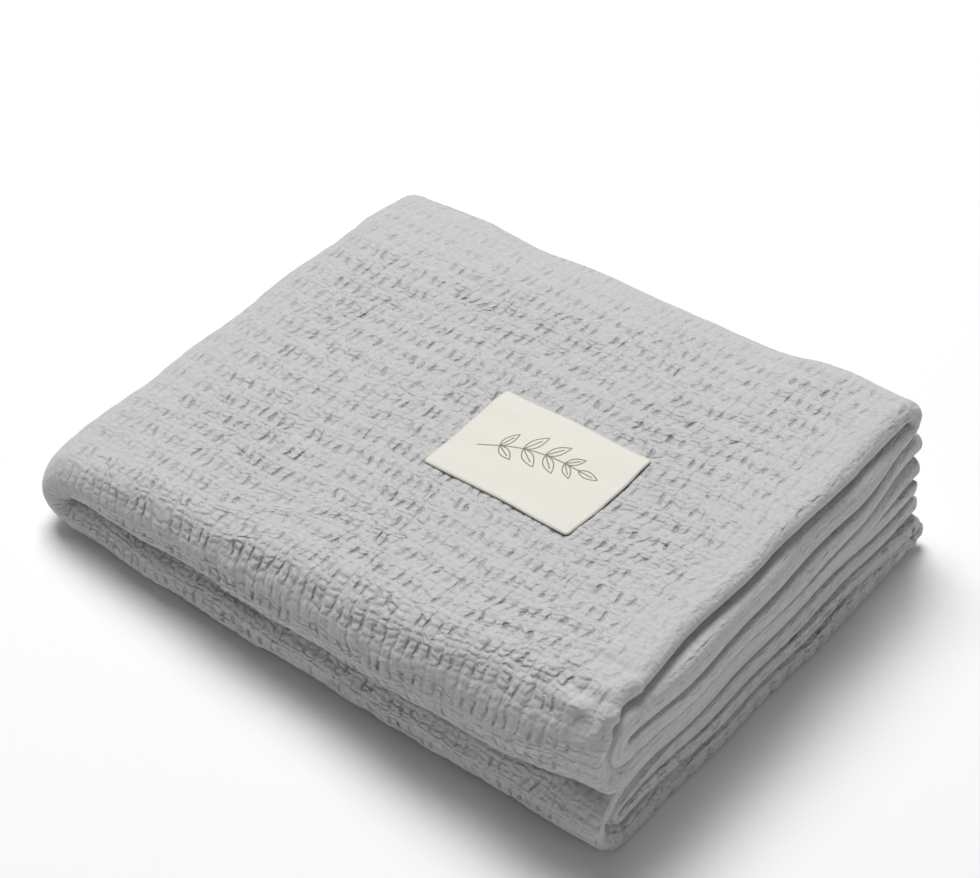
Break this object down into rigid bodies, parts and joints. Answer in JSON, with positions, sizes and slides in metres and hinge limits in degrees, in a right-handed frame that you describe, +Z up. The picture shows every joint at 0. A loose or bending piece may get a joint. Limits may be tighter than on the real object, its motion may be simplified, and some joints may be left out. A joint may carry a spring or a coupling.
{
  "type": "knitted blanket",
  "caption": "Folded knitted baby blanket: one cellular-knit cloth in a soft stack, closed at one end and open at the other, with a sewn-on woven label.",
  "frame": {"origin": "middle of the underside's bounding rectangle, in the plane of the surface it lies on", "axes": "+X towards the open end of the folded stack, +Y from the smooth front side to the back side with the hems, +Z up"},
  "size_m": [0.2634, 0.1966, 0.0713],
  "materials": {
    "knit": "soft matt light grey cellular knit",
    "label": "matt cream woven label"
  },
  "bodies": {
    "root": {"blanket": "knit", "label": "label"}
  },
  "joints": []
}
